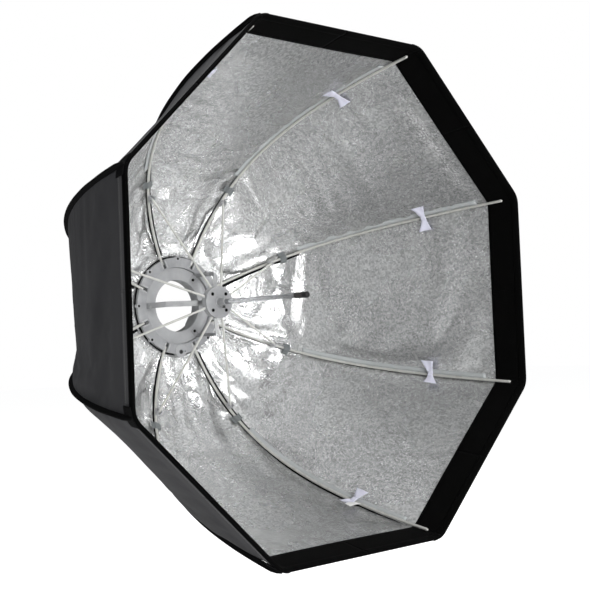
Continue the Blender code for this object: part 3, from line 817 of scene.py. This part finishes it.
def big_creases(share, across, number):
    """How far the loose cloth stands off its formula before it is let go."""
    seed = Vector((number * 5.3, 0, number * 2.9))
    flat = Vector((share * CLOTH_LENGTH, across * seam_at(share).x * math.sin(HALF_STEP), 0))
    near_ring = 1 - smooth_step(share, 0.20, 0.42)
    gathered = math.sin(across * 9.0 + 2.5 * noise.noise(seed) + share * 4)
    folds = 0.0030 * near_ring * gathered * smooth_step(share, 0.03, 0.12)
    crushed = 0.0022 * near_ring * crumple(flat + seed, 0.12, 1)
    long_folds = 0.0022 * (1 - near_ring) * crumple(flat + seed, 0.17, 2)
    crossing = CROSS_RIDGE * max(0.0, 1 - abs(share - CROSS_AT) / CROSS_WIDE)
    return folds + crushed + long_folds + crossing


print("the first creases are at most about", round(CROSS_RIDGE * 1000), "mm high")

# %% [markdown]
# ## Letting the cloth settle
#
# The simulation runs on a coarse grid and is then smoothed, which is quick. How far a point may move
# is capped, so that the cloth stays off the rods and inside the space that it is meant to fill.

# %% Panel and simulation
GORE_ROWS, GORE_COLUMNS = 64, 26
SLACK = -0.007  # the simulation's shrink: below 0 the cloth is larger than its frame
MOST_SHIFT, SETTLE_FRAMES = 0.008, 22
HELD_BEFORE_LIP = 0.025  # the share of cloth behind the lip that stays where it is
UV_LENGTH = 0.66  # metres on the UV map per share


def gore_panel(number):
    """The grid of one gore on its formula, with creases, and its UV map in metres."""
    shape = bmesh.new()
    bmesh.ops.create_grid(shape, x_segments=GORE_ROWS, y_segments=GORE_COLUMNS, size=0.5)
    layer = shape.verts.layers.float_vector.new("spot")
    for vert in shape.verts:
        share = CLOTH_START + (LIP_END - CLOTH_START) * (vert.co.x + 0.5)
        across = 2 * vert.co.y
        vert[layer] = (share, across, 0)
        lift = big_creases(share, across, number) * edge_hold(share, across)
        vert.co = gore_at(share, across, number) + lift * gore_out(share, across, number)
    add_uv(shape, lambda vert: (
        vert[layer][0] * UV_LENGTH,
        vert[layer][1] * seam_at(vert[layer][0]).x * math.sin(HALF_STEP) + number,
    ))
    bmesh.ops.recalc_face_normals(shape, faces=shape.faces)
    any_face = next(iter(shape.faces))
    if any_face.normal.dot(gore_out(0.1, 0, number)) < 0:
        bmesh.ops.reverse_faces(shape, faces=shape.faces)
    data = bpy.data.meshes.new(f"gore_{number}")
    shape.to_mesh(data)
    shape.free()
    made = bpy.data.objects.new(f"gore_{number}", data)
    bpy.context.scene.collection.objects.link(made)
    return made


def settle(panel):
    """Runs the cloth simulation on a panel held at its four sides and keeps its result."""
    spots = [spot.vector.copy() for spot in panel.data.attributes["spot"].data]
    held = panel.vertex_groups.new(name="held")
    for i, (share, across, _) in enumerate(spots):
        at_ring = share < CLOTH_START + 0.001
        at_lip = share > LIP_START - HELD_BEFORE_LIP
        sewn = abs(across) > 0.999 or at_ring or at_lip
        held.add([i], 1.0 if sewn else 0.0, "REPLACE")
    before = [vert.co.copy() for vert in panel.data.vertices]
    cloth = panel.modifiers.new("settle", "CLOTH")
    cloth.settings.quality = 6
    cloth.settings.mass = 0.12
    cloth.settings.tension_stiffness = cloth.settings.compression_stiffness = 18
    cloth.settings.shear_stiffness = 6
    cloth.settings.bending_stiffness = 0.35
    cloth.settings.vertex_group_mass = "held"
    cloth.settings.shrink_min = SLACK
    cloth.settings.effector_weights.gravity = 0.5
    cloth.collision_settings.use_collision = False
    cloth.point_cache.frame_end = SETTLE_FRAMES
    for step in range(1, SETTLE_FRAMES + 1):
        bpy.context.scene.frame_set(step)
    graph = bpy.context.evaluated_depsgraph_get()
    settled = [vert.co.copy() for vert in panel.evaluated_get(graph).data.vertices]
    panel.modifiers.remove(cloth)
    most = 0.0
    for vert, old, new in zip(panel.data.vertices, before, settled):
        shift = new - old
        most = max(most, shift.length)
        if shift.length > MOST_SHIFT:
            shift *= MOST_SHIFT / shift.length
        vert.co = old + shift
    bpy.context.scene.frame_set(1)
    return most


print("each panel's grid has", GORE_ROWS, "by", GORE_COLUMNS, "cells")

# %% [markdown]
# ## From a panel to two finished halves
#
# Each panel folds outwards between its ribs when the box closes, and its two halves follow different
# ribs. So the panel is subdivided, given its fine crazing as real ridges, split down its middle and
# made solid: charcoal outside, silver inside.

# %% Fine creases and the two skins
CLOTH_T = 0.0009
FACETS, SMALL_FACETS = 0.100, 0.034  # the sizes of crushed facets, in metres
APART = Vector((9, 4, 2))  # sets the small facets' cells apart from the large ones'


def bend_with_fold(piece):
    """Bakes the piece's object transform into its mesh; nothing here makes it follow its rib or turn
    with its half of the gore.
    """
    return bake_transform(piece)


def refine(panel, number):
    """Subdivides the panel twice and adds the small creases along its normals."""
    smooth = panel.modifiers.new("smooth", "SUBSURF")
    smooth.levels = smooth.render_levels = 2
    smooth.boundary_smooth = "PRESERVE_CORNERS"
    graph = bpy.context.evaluated_depsgraph_get()
    fine = bpy.data.meshes.new_from_object(panel.evaluated_get(graph))
    panel.modifiers.remove(smooth)
    spots = [spot.vector.copy() for spot in fine.attributes["spot"].data]
    normals = [normal.vector.copy() for normal in fine.vertex_normals]
    for vert, (share, across, _), normal in zip(fine.vertices, spots, normals):
        near_ring = 1 - smooth_step(share, 0.24, 0.46)
        hold = smooth_step(1 - abs(across), 0.0, 0.10) * (1 - smooth_step(share, 0.88, 0.935))
        hold *= smooth_step(share, 0.03, 0.05)
        place = vert.co + Vector((number * 2.0, 0, 0))
        height = (0.010 + 0.17 * near_ring) * facets(place, FACETS)
        height += (0.010 + 0.010 * near_ring) * facets(place + APART, SMALL_FACETS)
        height += 0.0010 * noise.noise(place * 20)
        vert.co += hold * height * normal
    return two_skins(fine, number)


def two_skins(fine, number):
    """The refined panel as two skins, silver inside and charcoal outside, joined round the rim."""
    skin = bpy.data.objects.new(f"gore_{number}_skins", fine)
    bpy.context.scene.collection.objects.link(skin)
    for material in (CHARCOAL, SILVER):
        fine.materials.append(material)
    thick = skin.modifiers.new("thickness", "SOLIDIFY")
    thick.thickness = CLOTH_T
    thick.offset = 1
    thick.material_offset, thick.material_offset_rim = 1, 0
    graph = bpy.context.evaluated_depsgraph_get()
    solid = bpy.data.meshes.new_from_object(skin.evaluated_get(graph))
    bpy.data.objects.remove(skin)
    bpy.data.meshes.remove(fine)
    return solid


print("cloth", round(CLOTH_T * 1000, 1), "mm thick, with facets of", FACETS, "and", SMALL_FACETS, "m")


# %% Split halves
def split_half(solid, number, half):
    """One half of the gore. Its normals stay those of the whole, so that no line shows between them."""
    shape = bmesh.new()
    shape.from_mesh(solid)
    normal_layer = shape.verts.layers.float_vector.new("whole_normal")
    for vert in shape.verts:
        vert[normal_layer] = vert.normal
    layer = shape.verts.layers.float_vector["spot"]
    side = 1 if half == "first" else -1
    unwanted = [
        face for face in shape.faces
        if sum(vert[layer][1] for vert in face.verts) * side > 0
    ]
    bmesh.ops.delete(shape, geom=unwanted, context="FACES")
    cut_rows = [
        edge for edge in shape.edges
        if edge.is_boundary and abs(edge.verts[0][layer][0] - edge.verts[1][layer][0]) > 0.0001
    ]
    for face in bmesh.ops.bridge_loops(shape, edges=cut_rows)["faces"]:
        face.material_index = 1
    normals = [vert[normal_layer].copy() for vert in shape.verts]
    data = bpy.data.meshes.new(f"gore_{number}_{half}_cloth")
    shape.to_mesh(data)
    shape.free()
    data.shade_smooth()
    data.normals_split_custom_set_from_vertices(normals)
    data.attributes.remove(data.attributes["whole_normal"])
    made = bpy.data.objects.new(f"gore_{number}_{half}_cloth", data)
    for material in (CHARCOAL, SILVER):
        data.materials.append(material)
    bpy.context.scene.collection.objects.link(made)
    return made


# %% Cloth of the eight gores
for number in range(1, SIDES + 1):
    panel = gore_panel(number)
    round(settle(panel) * 1000, 1)
    solid = refine(panel, number)
    bpy.data.objects.remove(panel)
    for half in ("first", "second"):
        piece = split_half(solid, number, half)
        bend_with_fold(piece)
        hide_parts(f"gore_{number}_{half}_half")
    bpy.data.meshes.remove(solid)

# %% [markdown]
# ## Lip, binding and hem
#
# The front edge is where the diffuser fastens, so it is the one stiff and flat place of the cloth.
# A broad black lip is sewn inside it, a folded tape binds the edge, and outside there is a hem with
# two rows of stitches. Each is a small sheet of its own, put on the same formula as the cloth but a
# millimetre nearer or further.

# %% Sewn sheets and stitches
THREAD_R = 0.00035


def sewn_sheet(name, place_of, size, cells, thickness, *materials):
    """A rectangle of cloth. place_of(u, v) puts each point, u and v from 0 to 1; size is in metres."""
    shape = bmesh.new()
    bmesh.ops.create_grid(shape, x_segments=cells[0], y_segments=cells[1], size=0.5)
    spots = {vert: (vert.co.x + 0.5, vert.co.y + 0.5) for vert in shape.verts}
    add_uv(shape, lambda vert: (spots[vert][0] * size[0], spots[vert][1] * size[1]))
    for vert, spot in spots.items():
        vert.co = place_of(*spot)
    made = as_object(name, shape, *materials, smooth_to=60)
    thick = made.modifiers.new("thickness", "SOLIDIFY")
    thick.thickness = thickness
    thick.offset = 0
    return made


def off_cloth(share, across, number, outwards):
    return gore_at(share, across, number) + outwards * gore_out(min(share, 1.02), across, number)


def stitch_row(name, point_of, length, pitch, material):
    """A row of raised stitches along point_of(0..1), each an egg of thread."""
    shape = bmesh.new()
    count = round(length / pitch)
    for i in range(count):
        start, end = point_of((i + 0.14) / count), point_of((i + 0.86) / count)
        along = end - start
        turn = along.to_track_quat("X", "Z").to_matrix().to_4x4()
        scale = Matrix.Diagonal((along.length / 2, THREAD_R, THREAD_R, 1))
        bmesh.ops.create_icosphere(
            shape, subdivisions=1, radius=1,
            matrix=Matrix.Translation((start + end) / 2) @ turn @ scale,
        )
    return as_object(name, shape, material, smooth_to=180)


print("a stitch is", round(THREAD_R * 2000, 1), "mm thick")

# %% Front edge
LIP_WIDTH, HEM_CUT, BINDING_CUT = 0.058, 0.020, 0.022
HEM_FROM, HEM_TO = 0.0060, 0.0265  # the hem's edges, as shares back from the front edge
STITCH_ROWS_AT, STITCH_PITCH = (0.0125, 0.0243), 0.0032
BINDING_SHAPE = [  # (back from the edge, outwards from the cloth) in metres
    (0.0100, -0.0020), (0.0088, -0.0025), (0.0040, -0.0022), (0.0008, -0.0022), (-0.0012, -0.0014),
    (-0.0018, 0.0004), (-0.0012, 0.0022), (0.0008, 0.0030), (0.0040, 0.0030), (0.0085, 0.0028),
]


def front_edge(number, half):
    """The lip, hem, binding and stitches of one half of a gore."""
    name = f"gore_{number}_{half}"
    shift = -1 if half == "first" else 0
    edge = (gore_at(LIP_END, shift + 1, number) - gore_at(LIP_END, shift, number)).length

    def lip_place(u, v):
        share = LIP_START + (LIP_END - LIP_START) * v
        return off_cloth(share, u + shift, number, -0.0010 - 0.0004 * math.sin(math.pi * v))

    def hem_place(u, v):
        share = LIP_END - HEM_FROM - (HEM_TO - HEM_FROM) * v
        return off_cloth(share, u + shift, number, CLOTH_T + 0.0007)

    def binding_place(u, v):
        at = v * (len(BINDING_SHAPE) - 1)
        low = min(int(at), len(BINDING_SHAPE) - 2)
        pair = [Vector(point) for point in BINDING_SHAPE[low : low + 2]]
        back, outwards = pair[0].lerp(pair[1], at - low)
        return off_cloth(LIP_END - back, u + shift, number, outwards)

    sheets = (
        ("lip", lip_place, LIP_WIDTH, 8, 0.0010, LIP_BLACK),
        ("hem", hem_place, HEM_CUT, 3, 0.0008, HEM_CLOTH),
        ("binding", binding_place, BINDING_CUT, 9, 0.0008, LIP_BLACK),
    )
    for kind, place_of, cut, cells, thickness, material in sheets:
        piece = sewn_sheet(f"{name}_{kind}", place_of, (edge, cut), (36, cells), thickness, material)
        bend_with_fold(piece)
    for row, back in enumerate(STITCH_ROWS_AT):
        piece = stitch_row(
            f"{name}_hem_stitches_{row + 1}",
            lambda u: off_cloth(LIP_END - back, u + shift, number, CLOTH_T + 0.0011),
            edge, STITCH_PITCH, TAPE_BLACK,
        )
        bend_with_fold(piece)


for number in range(1, SIDES + 1):
    for half in ("first", "second"):
        front_edge(number, half)
print("front edge: 16 lips, 16 hems, 16 bindings and 32 rows of stitches")

# %% [markdown]
# ## Seams along the ribs
#
# Outside, the two gores are sewn to each other under a narrow binding that stands up like a fin; its
# black colour is painted shade for the shaded side of the raised seam. Inside, near the ring, a black
# webbing takes the strain behind each rod, and further out a thin silver tape covers the stitches. These
# and the tabs below all belong to a rib, so they ride on it.

# %% Fin over each seam
FIN_SHAPE = [(0.0024, -0.0012), (0.0016, 0.0058), (0.0009, 0.0068), (-0.0009, 0.0068),
             (-0.0016, 0.0058), (-0.0024, -0.0012)]  # (sideways, outwards) in metres
FIN_HEIGHT, FIN_STEPS, FIN_START, FIN_END = 0.007, 90, 0.035, LIP_END - 0.002


def fin_ring(number, share):
    """The binding's outline at this share. It sways a little, and is lower at both ends."""
    sway = 0.0010 * noise.noise(Vector((share * 14, number * 3.1, 0)))
    tuck = (1 - smooth_step(share, 1.005, LIP_END)) * smooth_step(share, 0.03, 0.06)
    return [
        in_rib_plane(
            seam_at(share, SEAM_OFFSET + 0.0010 + high * (0.3 + 0.7 * tuck)),
            rib_angle(number), side + sway * high / FIN_HEIGHT,
        )
        for side, high in FIN_SHAPE
    ]


for number in range(1, SIDES + 1):
    shares = [FIN_START + (FIN_END - FIN_START) * i / FIN_STEPS for i in range(FIN_STEPS + 1)]
    rings = [fin_ring(number, share) for share in shares]
    # The fin's black tape colour is painted shade for the shaded side of the raised seam.
    fin = as_object(f"seam_binding_{number}", extrude_rings(bmesh.new(), rings), TAPE_BLACK)
    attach(fin, f"rib_{number}")
print("fins:", SIDES, "of", FIN_STEPS, "steps")


# %% Webbing, tape and corner patches
def near_rib(number, share, across, outwards):
    """A point on the slope beside a rib, so many metres across from it and outwards of it."""
    flat = seam_at(share, outwards)
    flat.x -= abs(across) * math.tan(HALF_STEP) * min(share / 0.15, 1)
    return in_rib_plane(flat, rib_angle(number), across)


WEBBING, WEBBING_WIDE = (0.21, 0.010), 0.0086
TAPE, CORNER_PATCH = (0.36, 0.010), (0.030, 0.026)
WEBBING_LEANS = [MM * lean for lean in (-3.2, 0.4, -3.0, 1.5, 3.2, 0.6, 3.4, -0.4)]
FOLDED, SLID_BY = 0.45, 1 * MM  # webbing that has slid less than this is folded to this share


def seam_sheets(number):
    """The webbing behind a rod, the tape over the seam and the patch at the corner."""
    body = f"rib_{number}"
    slide = WEBBING_LEANS[number - 1]
    shown = 1 if abs(slide) > SLID_BY else FOLDED

    def webbing_place(u, v):
        lean = slide + 0.0008 * noise.noise(Vector((u * 3, number * 1.7, 4)))
        wide = (0.0052 - 0.0020 * u) * shown
        return near_rib(number, 0.032 + 0.335 * u, (v - 0.5) * 2 * wide + lean, 0.0036)

    def tape_place(u, v):
        across = 0.0060 + (v - 0.5) * TAPE[1]
        return near_rib(number, 0.365 + 0.575 * u, across, SEAM_OFFSET - 0.0024)

    def corner_place(u, v):
        share = LIP_END - 0.0008 - CORNER_PATCH[1] * v
        across = (u - 0.5) * CORNER_PATCH[0]
        width = seam_at(share).x * math.sin(HALF_STEP)
        gore = number if across >= 0 else (number - 2) % SIDES + 1
        where = across / width - 1 if across >= 0 else across / width + 1
        return off_cloth(share, where, gore, 0.0038 + 0.0004 * math.cos(u * math.tau))

    webbing = sewn_sheet(
        f"rib_webbing_{number}", webbing_place, WEBBING, (60, 4), 0.0012, TAPE_BLACK
    )
    tape = sewn_sheet(f"seam_tape_{number}", tape_place, TAPE, (70, 2), 0.0006, SEAM_SILVER)
    patch = sewn_sheet(
        f"corner_patch_{number}", corner_place, CORNER_PATCH, (14, 6), 0.0008, TAPE_BLACK
    )
    slots = ("black_webbing", "silver_lined_cloth", "black_webbing")
    for piece, slot in zip((webbing, tape, patch), slots):
        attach(piece, body)


for number in range(1, SIDES + 1):
    seam_sheets(number)
print("seams: bindings, webbing, tape and corner patches on", SIDES, "ribs")

# %% [markdown]
# ## Tabs, ribbons and the care label
#
# Each rod is caught by two small straps: a grey webbing tab beyond its fork and a white ribbon, tied
# near the lip. No two ribbons are tied alike, so each gets its own turn, spread and ripple from a
# seeded random generator. The care label is left blank.


# %% Tabs
def rib_share_at(share, metres):
    """The share that is this many metres further along the rib."""
    return share + metres / (3 * rib_slope(share).length)


TAB, TAB_SHARE, TAB_REACH, TAB_OUT = (0.027, 0.013), 0.305, 0.0105, 0.0030


def rod_tab(number):
    """Webbing sewn down on both sides of a rod and arched over it."""

    def tab_place(u, v):
        across = (u - 0.5) * 2 * TAB_REACH
        arch = math.exp(-((across / 0.0052) ** 4))
        share = rib_share_at(TAB_SHARE, (v - 0.5) * TAB[1])
        return near_rib(number, share, across, TAB_OUT - (TAB_OUT + ROD_R + 0.0010) * arch)

    tab = sewn_sheet(f"rod_tab_{number}", tab_place, TAB, (24, 6), 0.0010, GREY_WEBBING)
    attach(tab, f"rib_{number}")


for number in range(1, SIDES + 1):
    rod_tab(number)
print("tabs:", SIDES)

# %% Ribbons and their knots
RIBBON, KNOT, RIBBON_SHARE, RIBBON_REACH = (0.048, 0.014), (0.012, 0.010), 0.800, 0.0235
RIBBON_WEAVE = (0.048, 0.012)  # the size of the UV map, where the ends are not yet spread


def tied_ribbon(number, turn, spread, shorter):
    """A ribbon across a rod. Its ends turn, spread and ripple, and a knot lies on top."""
    seed = number * 7.7

    def ribbon_place(u, v):
        across = (u - 0.5) * 2 * RIBBON_REACH * (1 if u > 0.5 else shorter)
        arch = math.exp(-((across / 0.0045) ** 2))
        open_out = 1 + spread * abs(2 * u - 1) ** 1.5
        pinch = 0.7 + 0.3 * (1 - arch)
        along = (v - 0.5) * 0.0105 * open_out * pinch + across * math.tan(turn)
        ripple = 0.0022 * noise.noise(Vector((across * 70, v * 2.2, seed)))
        out = -0.0040 * (1 - arch) - (ROD_R + 0.0012) * arch + 0.0030 * abs(2 * u - 1) + ripple
        return near_rib(number, rib_share_at(RIBBON_SHARE, along), across, out)

    def knot_place(u, v):
        share = rib_share_at(RIBBON_SHARE, (v - 0.5) * KNOT[1])
        out = -ROD_R - 0.0004 - 0.0026 * math.sin(math.pi * u)
        return near_rib(number, share, (u - 0.5) * 0.009, out)

    ribbon = sewn_sheet(
        f"rod_ribbon_{number}", ribbon_place, RIBBON_WEAVE, (40, 8), 0.0005, WHITE_RIBBON
    )
    knot = sewn_sheet(f"ribbon_knot_{number}", knot_place, KNOT, (12, 6), 0.0012, WHITE_RIBBON)
    for piece in (ribbon, knot):
        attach(piece, f"rib_{number}")


random.seed(11)
for number in range(1, SIDES + 1):
    turn = random.uniform(-0.35, 0.35)
    spread = random.uniform(1.0, 2.0)
    tied_ribbon(number, turn, spread, shorter=random.uniform(0.75, 1.0))
print("ribbons:", SIDES, "each with its knot")

# %% Care label
LABEL_RIB, LABEL = 7, (0.024, 0.013)


def label_place(u, v):
    across = -0.006 - LABEL[0] * u
    share = rib_share_at(RIBBON_SHARE, 0.010 + LABEL[1] * v)
    return near_rib(LABEL_RIB, share, across, -0.0035 - 0.0025 * math.sin(2.4 * u + 0.5 * v))


label = sewn_sheet("care_label", label_place, LABEL, (12, 6), 0.0004, LABEL_WHITE)
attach(label, f"rib_{LABEL_RIB}")
print("the label is blank, on rib", LABEL_RIB)

# %% [markdown]
# ## Floor and light
#
# The box is looked at the way a shop shows it: on white, in soft light, so that only the cloth's own
# folds make light and dark. The floor is paper that glows for the camera alone, because a glowing
# floor would also light the silver lining from below. One large panel in front does most of the work.
# The lining is almost a mirror, so the panels are placed by what each gore reflects, and the world is
# dim for everything but the camera.

# %% Floor
FLOOR_Z, FLOOR_GLOW = -0.62, 0.92
floor_shape = bmesh.new()
bmesh.ops.create_grid(
    floor_shape, x_segments=1, y_segments=1, size=12, matrix=Matrix.Translation((0, 0, FLOOR_Z))
)
floor_paper, _, paper_shader = new_material("white_seamless_paper", "#dcdcdc", 0.9)
paper_shader.inputs["Emission Color"].default_value = linear("#ffffff")
to_eye = add(floor_paper.node_tree, "ShaderNodeLightPath").outputs["Is Camera Ray"]
glow = add(floor_paper.node_tree, "ShaderNodeMath", {0: to_eye, 1: FLOOR_GLOW}, operation="MULTIPLY")
floor_paper.node_tree.links.new(glow.outputs[0], paper_shader.inputs["Emission Strength"])
floor = as_object("floor", floor_shape, floor_paper)
print("floor at", FLOOR_Z, "m")


# %% Lights and surroundings
def area_light(name, at, target, size, watts):
    """A square soft panel, its side in metres, aimed at a target."""
    data = bpy.data.lights.new(name, "AREA")
    data.energy = watts
    data.size = size
    light = bpy.data.objects.new(name, data)
    light.location = at
    light.rotation_euler = (Vector(target) - Vector(at)).to_track_quat("-Z", "Y").to_euler()
    bpy.context.scene.collection.objects.link(light)


area_light("front_panel", (-0.3, -3.0, 0.2), (0, -0.1, 0), 1.0, 70)
area_light("right_panel", (2.2, -2.2, 0.9), (-0.2, -0.2, 0), 1.3, 9)
area_light("left_fill", (-2.6, -0.2, 0.8), (-0.3, -0.2, 0), 1.4, 8)
area_light("top", (0.3, -0.4, 2.6), (0, -0.2, 0), 1.8, 60)

world = bpy.data.worlds.new("studio")
bpy.context.scene.world = world
world.use_nodes = True
tree = world.node_tree
background = tree.nodes["Background"]
seen = add(tree, "ShaderNodeLightPath").outputs["Is Camera Ray"]
shade = add(
    tree, "ShaderNodeMix", {"Factor": seen, 6: linear("#555657"), 7: linear("#ffffff")},
    data_type="RGBA",
)
tree.links.new(shade.outputs[2], background.inputs["Color"])
background.inputs["Strength"].default_value = 1.0
print("lights:", len(bpy.data.lights))
